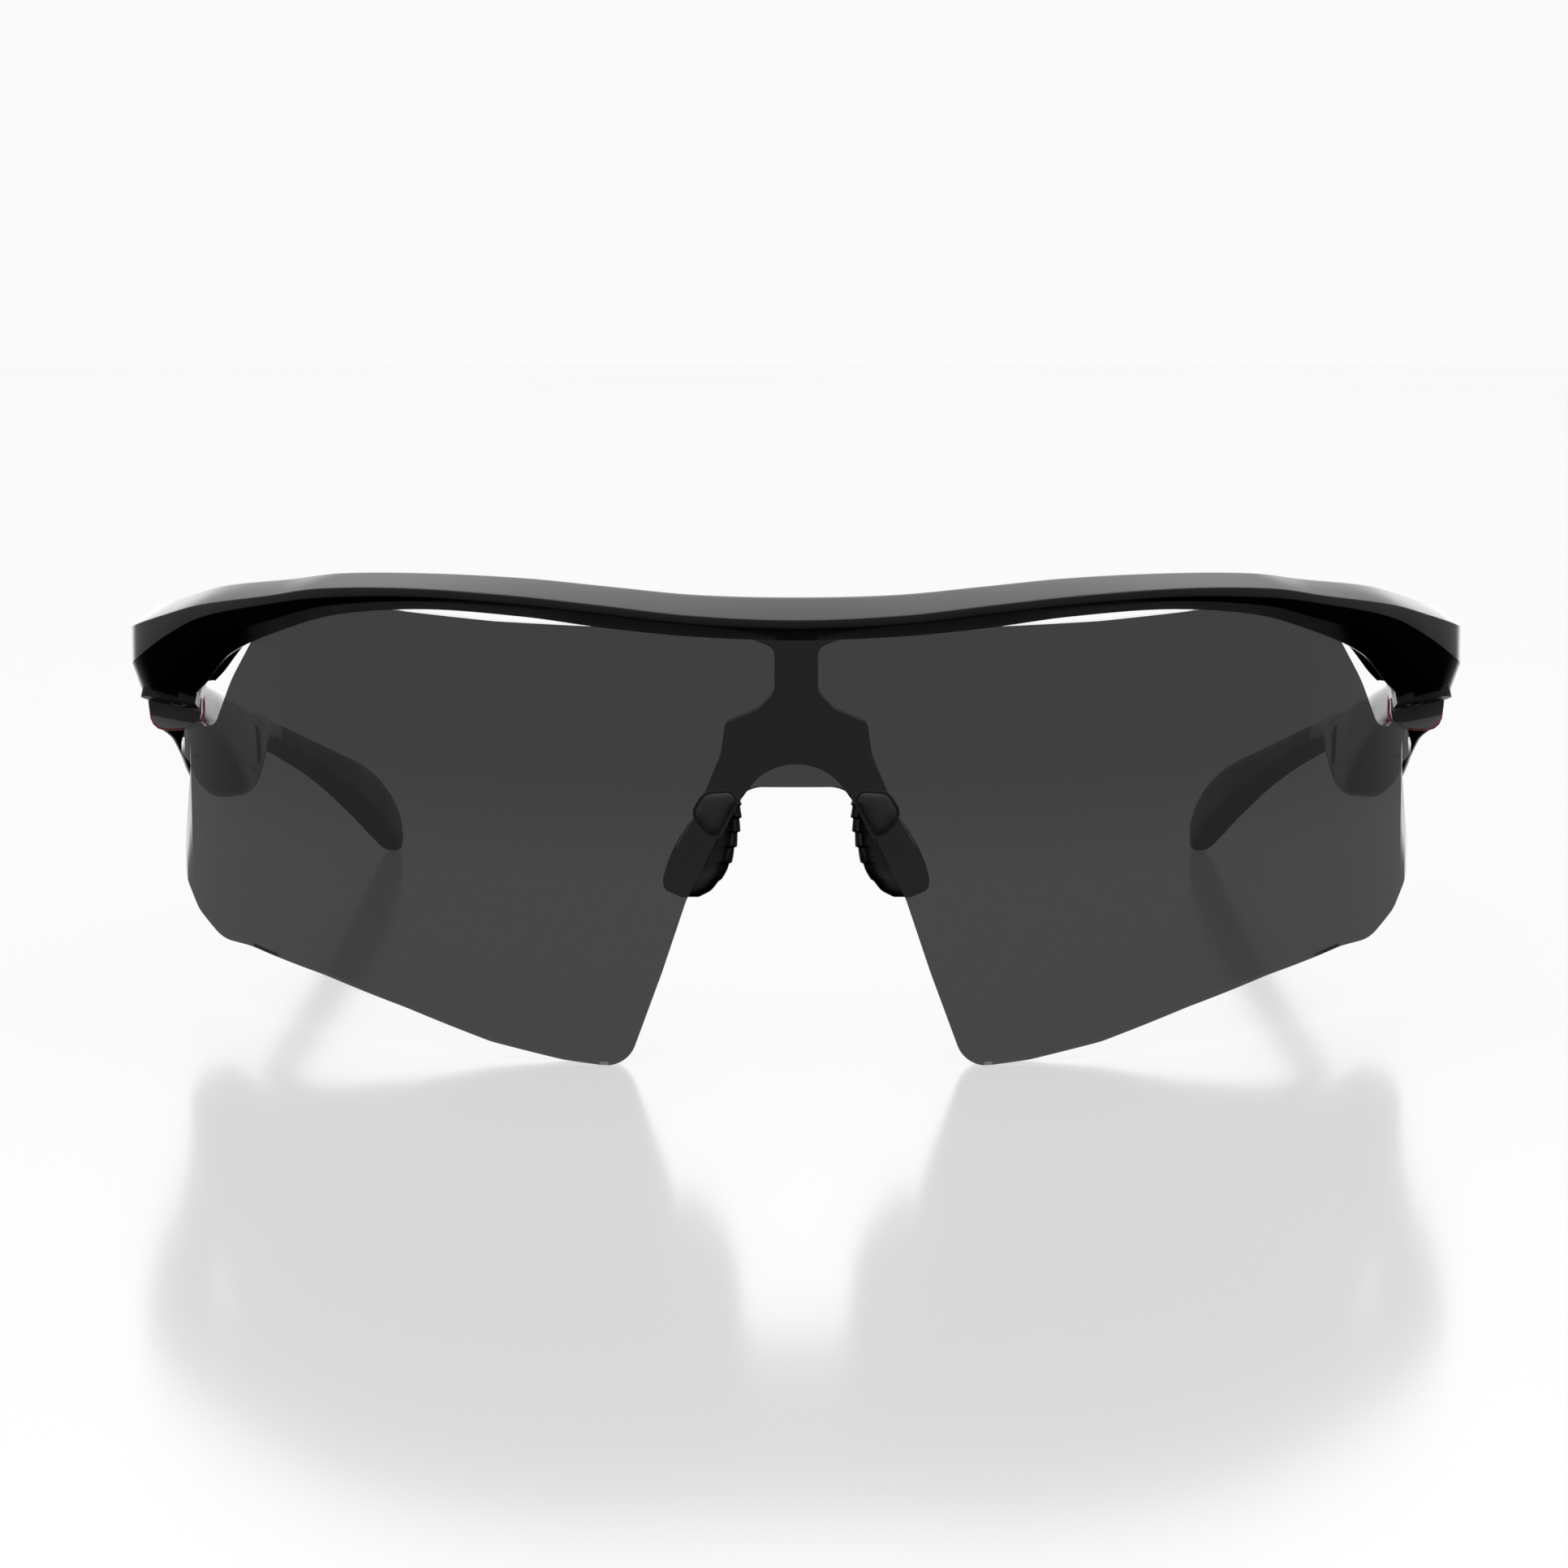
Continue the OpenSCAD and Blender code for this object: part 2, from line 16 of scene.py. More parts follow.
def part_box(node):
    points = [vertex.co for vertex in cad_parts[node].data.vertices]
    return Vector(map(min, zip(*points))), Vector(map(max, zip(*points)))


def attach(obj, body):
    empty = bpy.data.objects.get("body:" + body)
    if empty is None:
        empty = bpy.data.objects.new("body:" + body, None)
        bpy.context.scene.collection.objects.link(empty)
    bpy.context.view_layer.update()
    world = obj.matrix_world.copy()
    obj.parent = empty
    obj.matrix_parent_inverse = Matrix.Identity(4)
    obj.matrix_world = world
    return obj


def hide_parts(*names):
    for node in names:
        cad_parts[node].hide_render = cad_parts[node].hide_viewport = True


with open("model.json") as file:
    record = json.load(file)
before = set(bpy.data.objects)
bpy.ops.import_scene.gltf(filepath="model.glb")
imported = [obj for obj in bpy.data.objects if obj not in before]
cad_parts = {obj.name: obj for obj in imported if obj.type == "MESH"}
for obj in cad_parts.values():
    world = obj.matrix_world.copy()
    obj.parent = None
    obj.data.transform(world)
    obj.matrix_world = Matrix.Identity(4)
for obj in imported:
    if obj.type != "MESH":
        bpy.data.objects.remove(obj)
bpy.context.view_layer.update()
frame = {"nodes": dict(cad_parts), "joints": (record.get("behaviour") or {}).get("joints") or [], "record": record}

MM = 0.001
SIDES = {"left": 1, "right": -1}

# ---- Driving dimensions, in millimetres and degrees, as in the CAD ----

LENS_R = 74
LENS_T = 2
LENS_PLAY = 0.1
BROW_BACK = 1.7
GROOVE = 1.6
BROW_END = 73.5
LENS_END = 70
EAR_R = 2.4
EAR_LOW = -0.45
PIN_R = 0.7
EAR_TOP = 0.77
EAR_REACH = 1.8
LUG_TOP = 3.95
ROOT_FRONT = -4.2
ROOT_BACK = -2.6
ROOT_W = 2
KNUCKLE_FROM = 2.75
POD_LEAN = 15
POD_FROM = 5.1
WALL = 1.1
WINDOW_FROM = 15
WINDOW_TO = 39
SLEEVE_FROM = 53
TEMPLE_TO = 113
PAD_W = 10
PAD_T = 2.4

# ---- Dimensions of the visual pieces only ----

# The brow's front face turns in by END_ROUND over its last END_TURN degrees
END_TURN = 2.6
END_ROUND = 1.3
PAD_RIBS = 7
PAD_RIB_DEPTH = 0.45
SCREW_HEAD_R = 1.15
SCREW_HEAD_H = 0.48

# Angle, stand-off, top ridge, crease, front face's lower edge, chamfer's lower edge, bottom in
# front of the lens, bottom behind it, width of the chamfer
BROW = [
    [-8, 3.0, 48.7, 46.8, 45.9, 45.6, 44.4, 44.4, 0.4],
    [0, 3.0, 48.5, 46.4, 45.5, 45.2, 44.1, 44.1, 0.4],
    [8, 3.0, 48.7, 46.8, 45.9, 45.6, 44.4, 44.4, 0.4],
    [15, 3.1, 49.4, 47.7, 46.8, 46.4, 45.1, 45.2, 0.5],
    [22, 3.1, 50.0, 48.4, 47.5, 47.1, 46.0, 46.2, 0.5],
    [31, 3.2, 50.1, 48.7, 47.8, 47.3, 46.3, 46.5, 0.5],
    [40, 3.3, 49.6, 48.1, 47.1, 46.2, 45.2, 46.0, 0.6],
    [46, 3.4, 48.6, 46.9, 46.0, 44.4, 43.4, 45.0, 0.7],
    [56, 3.9, 47.1, 45.0, 43.6, 41.2, 39.4, 42.8, 1.2],
    [62, 4.7, 45.5, 43.3, 40.9, 37.5, 35.2, 40.3, 1.5],
    [67, 5.4, 44.1, 41.9, 38.3, 34.5, 32.9, 38.9, 1.5],
    [71, 5.2, 43.3, 41.1, 36.9, 33.0, 32.2, 38.5, 1.4],
    [74, 4.5, 43.0, 40.9, 36.4, 32.7, 32.0, 38.4, 1.3],
]

# Distance from the hinge, centre across and up, half width, half height
TEMPLE = [
    [3, 0.8, 0.4, 2.9, 2.8],
    [4.7, 0.7, 0.3, 3.0, 2.9],
    [9.7, -0.3, -0.2, 2.8, 3.4],
    [15.7, -1.0, -1.0, 3.1, 4.2],
    [26, -1.6, -1.9, 3.6, 5.5],
    [36, -2.3, -1.6, 3.4, 5.4],
    [41, -3.3, 0.3, 2.8, 3.5],
    [46, -4.2, 2.1, 2.1, 1.6],
    [54, -5.5, 2.1, 1.9, 1.55],
    [75, -10.2, 0.7, 1.9, 2.15],
    [93, -14.2, -1.4, 2.0, 3.4],
    [103, -16.3, -3.55, 1.9, 3.5],
    [110, -17.4, -5.35, 1.5, 2.6],
    [113, -17.9, -6.2, 0.5, 1.0],
]

# Corners of the lens's half outline: x, z, radius
LENS = [
    (0, 29.15, 0), (5.4, 29.15, 3.3), (11.1, 17.7, 12), (13.7, 9.9, 20), (17.4, -0.215, 3.4),
    (24, 0.3, 8), (31.7, 1.6, 8), (41, 4.2, 30), (50.3, 6.35, 30), (59.5, 7.75, 10),
    (63.4, 7.6, 4), (67, 9.8, 3), (69.1, 12.7, 3), (69.1, 16.5, 20), (67.9, 26, 0.5),
    (69.9, 26.7, 0.7), (68.8, 29.8, 0.9), (64, 31.2, 1.9),
    (61.6, 36.6, 20), (58.6, 41.5, 1), (52, 44.7, 8), (44.4, 46.6, 0.4), (43.4, 46.1, 0.3),
    (31, 45.4, 40), (19.9, 45.2, 0.3), (18.9, 46.3, 0.3), (9, 45.6, 20), (0, 45.3, 0),
]

# Share of the pad's length, centre (x, y, z), share of its half width and of its half thickness
PAD = [
    [0, 6.5, 5.6, 27.5, 0.16, 0.5],
    [0.15, 6.9, 6.6, 26.4, 0.55, 0.85],
    [0.45, 7.5, 8.3, 23.2, 0.9, 1],
    [0.75, 8.6, 9.4, 19.6, 1, 1],
    [0.93, 10.1, 9.9, 17.2, 0.75, 0.8],
    [1, 10.8, 10.1, 16.3, 0.25, 0.4],
]

# ---- Places from the frame ----

FRONT_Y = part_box("lens")[0].y
JOINTS = {joint["name"]: joint for joint in frame["joints"]}
HINGE_AT = Vector(JOINTS["fold_left"]["pos_m"])
HINGE_UP = Vector(JOINTS["fold_left"]["axis"]).normalized()
ALONG = Vector(JOINTS["unplug_left"]["axis"]).normalized()


def hinge_matrix():
    """The left hinge's frame: Z up its axis, Y along the open temple."""
    across = ALONG.cross(HINGE_UP)
    turn = Matrix((across, ALONG, HINGE_UP)).transposed().to_4x4()
    return Matrix.Translation(HINGE_AT) @ turn @ Matrix.Scale(MM, 4)


def pod_matrix():
    """The left temple's frame: the hinge's, with the housing's walls upright."""
    return hinge_matrix() @ Matrix.Rotation(math.radians(POD_LEAN), 4, "Y")


def front_matrix():
    """The front's frame, with the lens's apex at Y = 0."""
    return Matrix.Translation((0, FRONT_Y, 0)) @ Matrix.Scale(MM, 4)


def mirrored(matrix, side):
    """The same frame on the named side."""
    return Matrix.Diagonal((SIDES[side], 1, 1, 1)) @ matrix


# ---- Camera ----

# Lens in millimetres, distance from the object's front and height in metres
CAMERA_LENS = 93.17
CAMERA_SHIFT = -0.0078
CAMERA_AWAY = 0.407
CAMERA_HEIGHT = 0.08307
CAMERA_TILT = 82.5


def add_camera():
    """The camera that was fitted to the photograph, 7.5 degrees down from level."""
    data = bpy.data.cameras.new("camera")
    data.sensor_width = 36
    data.lens = CAMERA_LENS
    data.shift_x = CAMERA_SHIFT
    data.clip_start = 0.01
    camera = bpy.data.objects.new("camera", data)
    camera.location = (0, FRONT_Y - CAMERA_AWAY, CAMERA_HEIGHT)
    camera.rotation_euler = (math.radians(CAMERA_TILT), 0, 0)
    bpy.context.scene.collection.objects.link(camera)
    bpy.context.scene.camera = camera


add_camera()

# ---- Curves ----


def along(stations, u):
    """Smooth values of all the stations' columns at u."""
    i = 0
    while i < len(stations) - 2 and u > stations[i + 1][0]:
        i += 1

    def slope(j, k):
        a = max(j - 1, 0)
        b = min(j + 1, len(stations) - 1)
        return (stations[b][k] - stations[a][k]) / (stations[b][0] - stations[a][0])

    h = stations[i + 1][0] - stations[i][0]
    t = (u - stations[i][0]) / h
    q = 2 * t**3 - 3 * t**2 + 1
    r = t**3 - 2 * t**2 + t
    s = t**3 - t**2
    return [
        q * stations[i][k] + (1 - q) * stations[i + 1][k]
        + h * (r * slope(i, k) + s * slope(i + 1, k))
        for k in range(1, len(stations[0]))
    ]


def spow(value, power):
    """A power that keeps the sign."""
    return math.copysign(abs(value) ** power, value)


def squircle(half_w, half_h, count, power=0.62):
    """A rounded rectangle; power is 1 for an ellipse."""
    turns = [2 * math.pi * k / count for k in range(count)]
    return [(half_w * spow(math.cos(a), power), half_h * spow(math.sin(a), power)) for a in turns]


def arcs(corners, steps=16):
    """An outline with each corner (x, z, radius) rounded by a true arc, as in the CAD."""
    points = []
    for i, (x, z, radius) in enumerate(corners):
        here = Vector((x, z))
        if radius == 0:
            points.append(here)
            continue
        u = (Vector(corners[i - 1][:2]) - here).normalized()
        v = (Vector(corners[(i + 1) % len(corners)][:2]) - here).normalized()
        half = u.angle(v) / 2
        middle = here + (u + v).normalized() * radius / math.sin(half)
        start = here + u * radius / math.tan(half) - middle
        end = here + v * radius / math.tan(half) - middle
        sweep = math.atan2(start.cross(end), start.dot(end))
        for k in range(steps + 1):
            points.append(middle + Matrix.Rotation(sweep * k / steps, 2) @ start)
    return points


def fillets(corners, steps=4):
    """An outline with each corner (x, z, radius) eased by a parabola, as far as there is room."""
    points = []
    for i, (x, z, radius) in enumerate(corners):
        here = Vector((x, z))
        if radius == 0:
            points.append(here)
            continue
        before = Vector(corners[i - 1][:2]) - here
        after = Vector(corners[(i + 1) % len(corners)][:2]) - here
        reach = 0.45 * min(before.length, after.length)
        u = before.normalized()
        v = after.normalized()
        half = max(u.angle(v) / 2, 0.02)
        cut = min(radius / math.tan(half), reach)
        start = here + u * cut
        end = here + v * cut
        for k in range(steps + 1):
            t = k / steps
            points.append(start * (1 - t) ** 2 + here * 2 * t * (1 - t) + end * t**2)
    return points


# ---- Mesh helpers ----


def link(name, mesh):
    """A new object in the scene."""
    piece = bpy.data.objects.new(name, mesh)
    bpy.context.scene.collection.objects.link(piece)
    return piece


def loft(name, rings, matrix):
    """A closed skin through rings of points, with a cap on each end."""
    bm = bmesh.new()
    rows = [[bm.verts.new(matrix @ Vector(p)) for p in ring] for ring in rings]
    count = len(rings[0])
    for a, b in zip(rows, rows[1:]):
        for k in range(count):
            m = (k + 1) % count
            bm.faces.new((a[k], b[k], b[m], a[m]))
    bm.faces.new(rows[0])
    bm.faces.new(rows[-1][::-1])
    bmesh.ops.recalc_face_normals(bm, faces=bm.faces)
    mesh = bpy.data.meshes.new(name)
    bm.to_mesh(mesh)
    bm.free()
    return link(name, mesh)


def prism(name, outline, low, high, matrix, axis="X"):
    """An outline of two coordinates, extruded along the third axis."""
    def place(p, w):
        return (w, p[0], p[1]) if axis == "X" else (p[0], w, p[1])
    return loft(name, [[place(p, low) for p in outline], [place(p, high) for p in outline]], matrix)


def block(name, low, high, matrix):
    """A cutter with flat sides between two corners."""
    (x0, y0, z0), (x1, y1, z1) = low, high
    return prism(name, [(x0, z0), (x1, z0), (x1, z1), (x0, z1)], y0, y1, matrix, "Y")


def rod(name, radius, low, high, matrix):
    """A cutter round the frame's Z axis."""
    turns = [2 * math.pi * k / 96 for k in range(96)]
    rings = [[(radius * math.cos(a), radius * math.sin(a), z) for a in turns] for z in (low, high)]
    return loft(name, rings, matrix)


def carve(piece, others, operation="DIFFERENCE"):
    """Applies one boolean per other object, then removes those objects."""
    for other in others:
        mod = piece.modifiers.new("cut", "BOOLEAN")
        mod.operation = operation
        mod.solver = "MANIFOLD"
        mod.object = other
    apply_modifiers(piece)
    for other in others:
        bpy.data.objects.remove(other)


def apply_modifiers(piece):
    """Bakes a piece's modifiers into its mesh."""
    graph = bpy.context.evaluated_depsgraph_get()
    graph.update()
    mesh = bpy.data.meshes.new_from_object(piece.evaluated_get(graph))
    piece.modifiers.clear()
    piece.data = mesh


def keep_largest(piece):
    """Deletes the crumbs that cutting leaves loose, and the slivers it leaves on the rest."""
    bm = bmesh.new()
    bm.from_mesh(piece.data)
    left = set(bm.verts)
    islands = []
    while left:
        border = [left.pop()]
        island = list(border)
        while border:
            vert = border.pop()
            fresh = {e.other_vert(vert) for e in vert.link_edges} & left
            left -= fresh
            border += fresh
            island += fresh
        islands.append(island)
    islands.sort(key=len)
    for island in islands[:-1]:
        bmesh.ops.delete(bm, geom=island, context="VERTS")
    bmesh.ops.dissolve_degenerate(bm, edges=bm.edges, dist=5e-6)
    bmesh.ops.triangulate(bm, faces=[face for face in bm.faces if len(face.verts) > 4])
    same = {}
    for face in bm.faces:
        same.setdefault(frozenset(face.verts), []).append(face)
    pairs = [face for faces in same.values() if len(faces) > 1 for face in faces]
    bmesh.ops.delete(bm, geom=pairs, context="FACES")
    bm.to_mesh(piece.data)
    bm.free()


def smooth(piece, angle=35):
    """Smooth shading, with edges sharper than the angle left sharp."""
    bm = bmesh.new()
    bm.from_mesh(piece.data)
    bmesh.ops.remove_doubles(bm, verts=bm.verts, dist=1e-8)
    limit = math.radians(angle)
    for face in bm.faces:
        face.smooth = True
    for edge in bm.edges:
        edge.smooth = len(edge.link_faces) == 2 and edge.calc_face_angle(0) < limit
    bm.to_mesh(piece.data)
    bm.free()


def bevel(piece, width):
    """A fine rounding of the sharp edges, kept as modifiers."""
    mod = piece.modifiers.new("bevel", "BEVEL")
    mod.width = width * MM
    mod.segments = 2
    mod.limit_method = "ANGLE"
    mod.angle_limit = math.radians(35)
    mod.use_clamp_overlap = True
    normals = piece.modifiers.new("normals", "WEIGHTED_NORMAL")
    normals.keep_sharp = True


def finish_piece(piece, body, node, material):
    """Gives a rebuilt piece its material and its CAD body, and hides the CAD node that it stands for."""
    piece.data.materials.clear()
    piece.data.materials.append(material)
    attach(piece, body)
    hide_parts(node)


# ---- Materials ----


def new_material(name):
    """A material with its nodes, its links and its shader."""
    material = bpy.data.materials.new(name)
    material.use_nodes = True
    nodes = material.node_tree.nodes
    return material, nodes, material.node_tree.links, nodes["Principled BSDF"]


def noise(nodes, links, scale, detail=3.0, stretch=None):
    """Noise in the object's own coordinates; scale is in features per metre."""
    where = nodes.new("ShaderNodeTexCoord")
    texture = nodes.new("ShaderNodeTexNoise")
    texture.inputs["Scale"].default_value = scale
    texture.inputs["Detail"].default_value = detail
    if stretch:
        mapping = nodes.new("ShaderNodeMapping")
        mapping.inputs["Scale"].default_value = stretch
        links.new(where.outputs["Object"], mapping.inputs["Vector"])
        links.new(mapping.outputs["Vector"], texture.inputs["Vector"])
    else:
        links.new(where.outputs["Object"], texture.inputs["Vector"])
    return texture


def spread(nodes, links, source, low, high, start=0.3, stop=0.7):
    """Maps a noise to a range of values."""
    ramp = nodes.new("ShaderNodeMapRange")
    ramp.inputs["From Min"].default_value = start
    ramp.inputs["From Max"].default_value = stop
    ramp.inputs["To Min"].default_value = low
    ramp.inputs["To Max"].default_value = high
    links.new(source, ramp.inputs["Value"])
    return ramp.outputs["Result"]


def tint(nodes, links, source, dark, light):
    """Blends two colours by a noise."""
    ramp = nodes.new("ShaderNodeValToRGB")
    ramp.color_ramp.elements[0].position = 0.35
    ramp.color_ramp.elements[0].color = (*dark, 1)
    ramp.color_ramp.elements[1].position = 0.65
    ramp.color_ramp.elements[1].color = (*light, 1)
    links.new(source, ramp.inputs["Fac"])
    return ramp.outputs["Color"]


def bump(nodes, links, source, height, strength=1.0):
    """A fine relief; height is in millimetres."""
    relief = nodes.new("ShaderNodeBump")
    relief.inputs["Strength"].default_value = strength
    relief.inputs["Distance"].default_value = height * MM
    links.new(source, relief.inputs["Height"])
    return relief.outputs["Normal"]


def surface(name, color, rough, spread_rough=0.06, grain=4000, relief=0.01, metallic=0.0,
            vary=0.25, stretch=None, specular=0.5):
    """A moulded or metal surface: uneven colour and gloss, with a fine grain."""
    material, nodes, links, shader = new_material(name)
    cloud = noise(nodes, links, 90, 4)
    fine = noise(nodes, links, grain, 2, stretch)
    dark = [c * (1 - vary) for c in color]
    light = [min(c * (1 + vary), 1) for c in color]
    links.new(tint(nodes, links, cloud.outputs["Fac"], dark, light), shader.inputs["Base Color"])
    gloss = spread(nodes, links, cloud.outputs["Fac"],
                   max(rough - spread_rough, 0.01), rough + spread_rough)
    links.new(gloss, shader.inputs["Roughness"])
    links.new(bump(nodes, links, fine.outputs["Fac"], relief, 0.6), shader.inputs["Normal"])
    shader.inputs["Metallic"].default_value = metallic
    shader.inputs["Specular IOR Level"].default_value = specular
    return material


def smoke_glass(name, deep, pale):
    """The tinted lens, with a faint painted glow: the tint is deepest along the brow and a little paler at the
    bottom.
    """
    material, nodes, links, shader = new_material(name)
    where = nodes.new("ShaderNodeTexCoord")
    parts = nodes.new("ShaderNodeSeparateXYZ")
    links.new(where.outputs["Object"], parts.inputs[0])
    height = spread(nodes, links, parts.outputs["Z"], 0.0, 1.0, 0.005, 0.045)
    links.new(tint(nodes, links, height, pale, deep), shader.inputs["Base Color"])
    shader.inputs["Transmission Weight"].default_value = 1
    shader.inputs["IOR"].default_value = 1.15
    # A faint painted glow stands in for the veil of room light reflected by a curved dark lens; the low IOR leaves
    # out sharp reflections
    shader.inputs["Emission Color"].default_value = (0.5, 0.5, 0.5, 1)
    shader.inputs["Emission Strength"].default_value = 0.026
    shader.inputs["Roughness"].default_value = 0.0
    shader.inputs["Specular IOR Level"].default_value = 0.2
    return material


def two_face_finish(name, rough):
    """Black plastic for the temples' front parts: glossy on the inner side, dull outside."""
    material = surface(name, (0.003, 0.003, 0.003), rough, 0.04, relief=0.002)
    nodes = material.node_tree.nodes
    links = material.node_tree.links
    where = nodes.new("ShaderNodeTexCoord")
    parts = nodes.new("ShaderNodeSeparateXYZ")
    links.new(where.outputs["Object"], parts.inputs[0])
    apart = nodes.new("ShaderNodeMath")
    apart.operation = "ABSOLUTE"
    links.new(parts.outputs["X"], apart.inputs[0])
    gloss = spread(nodes, links, apart.outputs[0], 0.3, 0.01, 0.0675, 0.0695)
    links.new(gloss, nodes["Principled BSDF"].inputs["Specular IOR Level"])
    return material


def board_finish(name):
    """Green solder mask with paler tracks."""
    material, nodes, links, shader = new_material(name)
    where = nodes.new("ShaderNodeTexCoord")
    track = nodes.new("ShaderNodeTexBrick")
    track.inputs["Scale"].default_value = 900
    track.inputs["Color1"].default_value = (0.02, 0.13, 0.06, 1)
    track.inputs["Color2"].default_value = (0.03, 0.17, 0.08, 1)
    track.inputs["Mortar"].default_value = (0.08, 0.3, 0.14, 1)
    links.new(where.outputs["Object"], track.inputs["Vector"])
    links.new(track.outputs["Color"], shader.inputs["Base Color"])
    fine = noise(nodes, links, 5000, 2)
    links.new(bump(nodes, links, fine.outputs["Fac"], 0.01), shader.inputs["Normal"])
    shader.inputs["Roughness"].default_value = 0.35
    return material


def make_materials():
    """One material per slot of the record."""
    return {
        "frame": surface("gloss_black_frame", (0.002, 0.002, 0.002), 0.16, 0.03, relief=0.002),
        "bridge": surface("satin_black_bridge", (0.003, 0.003, 0.0032), 0.34, relief=0.01),
        "lens": smoke_glass("smoke_lens", (0.036, 0.036, 0.037), (0.048, 0.048, 0.049)),
        "clip": surface("gloss_grey_clip", (0.016, 0.016, 0.0165), 0.2, relief=0.003),
        "soft_rubber": surface("soft_black_rubber", (0.003, 0.003, 0.003), 0.45, 0.08, 6000, 0.02),
        "lug": surface("dark_lug", (0.006, 0.006, 0.0065), 0.34, relief=0.006, specular=0.12),
        "screw": surface("screw_steel", (0.62, 0.62, 0.63), 0.26, 0.08, 9000, 0.006, 1.0, 0.08),
        "knuckle": surface("grey_knuckle", (0.16, 0.16, 0.17), 0.3, 0.06, relief=0.006),
        "red_rubber": surface("red_seal", (0.36, 0.012, 0.03), 0.38, 0.06, 5000, 0.01, vary=0.12),
        "contact": surface("gold_contact", (0.80, 0.58, 0.25), 0.24, 0.06, 8000, 0.004, 1.0, 0.08),
        "socket": surface("socket_plastic", (0.045, 0.045, 0.05), 0.5, relief=0.02),
        "housing": two_face_finish("black_housing", 0.2),
        "cover": surface("gloss_black_cover", (0.003, 0.003, 0.003), 0.26, 0.04, relief=0.003,
                         specular=0.3),
        "grille": surface("black_grille", (0.006, 0.006, 0.006), 0.6, relief=0.02),
        "speaker": surface("speaker_grey", (0.06, 0.06, 0.065), 0.45, relief=0.02),
        "battery": surface("battery_foil", (0.55, 0.56, 0.58), 0.33, 0.1, 1500, 0.03, 1.0, 0.1),
        "board": board_finish("green_board"),
        "core": surface("drawn_wire", (0.6, 0.6, 0.62), 0.28, 0.06, 3000, 0.01, 1.0, 0.08,
                        stretch=(1, 0.05, 1)),
    }


MATERIALS = make_materials()
SLOT_OF = {part["node"]: part["material_slot"] for part in frame["record"]["subparts"]}

# ---- Brow ----


def brow_section(angle):
    """The brow's outline at an angle in degrees: distance from the lens's axis, height."""
    stand, top, crease, face_low, cut_low, low_front, low_back, cut = along(BROW, abs(angle))
    late = min(max((abs(angle) - BROW_END + END_TURN) / END_TURN, 0), 1)
    out = LENS_R + stand - END_ROUND * (1 - math.sqrt(1 - late * late))
    slot_out = LENS_R + LENS_PLAY
    slot_in = LENS_R - LENS_T - LENS_PLAY
    back = LENS_R - LENS_T - BROW_BACK
    slot_top = low_front + GROOVE
    corners = [
        (out, crease, 0.22),
        (out, face_low, 0.12),
        (out - cut, cut_low, 0.12),
        (slot_out + 0.35, low_front, 0.12),
        (slot_out, low_front + 0.1, 0.03),
        (slot_out, slot_top, 0),
        (slot_in, slot_top, 0),
        (slot_in, min(low_back, slot_top - 0.2), 0.05),
        (back + 0.3, low_back, 0.15),
        (back, low_back + 0.4, 0.15),
        (back, top - 1.5, 0.3),
        (back + 0.8, top - 0.7, 0.5),
        (out - 3.2, top, 1.2),
    ]
    return fillets(corners)


def brow_ring(angle, inset=0.0):
    """The section bent round the lens, made smaller towards its middle by inset."""
    points = brow_section(angle)
    middle = sum(points, Vector((0, 0))) / len(points)
    turn = math.radians(angle)
    ring = []
    for p in points:
        towards = middle - p
        p = p + towards.normalized() * min(inset, towards.length * 0.5)
        ring.append((p.x * math.sin(turn), LENS_R - p.x * math.cos(turn), p.y))
    return ring


def pocket_cutters(side):
    """What the hinge needs inside the brow's end: the lug's space, then the folding knuckle's."""
    m = mirrored(hinge_matrix(), side)
    ear_m = m @ Matrix.Translation((EAR_REACH, 0, 0))
    play = 0.02
    low = EAR_LOW - play
    top = 4.3
    root = (-EAR_R - play, ROOT_FRONT - play, low)
    return [
        rod("ears", EAR_R + play, EAR_LOW - 8, LUG_TOP + 0.05, m),
        rod("ear_end", EAR_R + play, EAR_LOW - 8, EAR_TOP, ear_m),
        block("ear_side", (0, -EAR_R - play, EAR_LOW - 8), (EAR_REACH, EAR_R + play, EAR_TOP), m),
        block("root", root, (-EAR_R + ROOT_W + play, ROOT_BACK + play, LUG_TOP + play), m),
        block("root_low", root, (-EAR_R + ROOT_W + play, 0, EAR_TOP), m),
        block("root_high", (root[0], root[1], 2.73),
              (-EAR_R + ROOT_W + play, 0, LUG_TOP + play), m),
        block("inner", (-14, -4, -20), (-EAR_R, 16, top), m),
        block("swing", (-EAR_R - 0.1, -EAR_R - 0.1, -20.1), (0, 17.5, top - 0.02), m),
        block("behind", (-0.1, 0, -20.2), (EAR_R, 20, top - 0.04), m),
        block("outer", (0, KNUCKLE_FROM - 0.4, -20.3), (4.4, 22.35, top - 0.06), m),
    ]


def make_brow():
    """The brow: its section swept round the lens, with a pocket for each hinge."""
    steps = 360
    ends = [(-BROW_END, 0.3), (-BROW_END + 0.06, 0.1), (-BROW_END + 0.25, 0.0)]
    middle = [(BROW_END * (2 * j / steps - 1), 0.0) for j in range(1, steps)]
    stations = ends + middle + [(-a, inset) for a, inset in reversed(ends)]
    piece = loft("brow_shell", [brow_ring(a, inset) for a, inset in stations], front_matrix())
    carve(piece, pocket_cutters("left") + pocket_cutters("right"))
    keep_largest(piece)
    smooth(piece, 30)
    finish_piece(piece, "front", "brow_frame", MATERIALS["frame"])


# ---- Lens and its clips ----


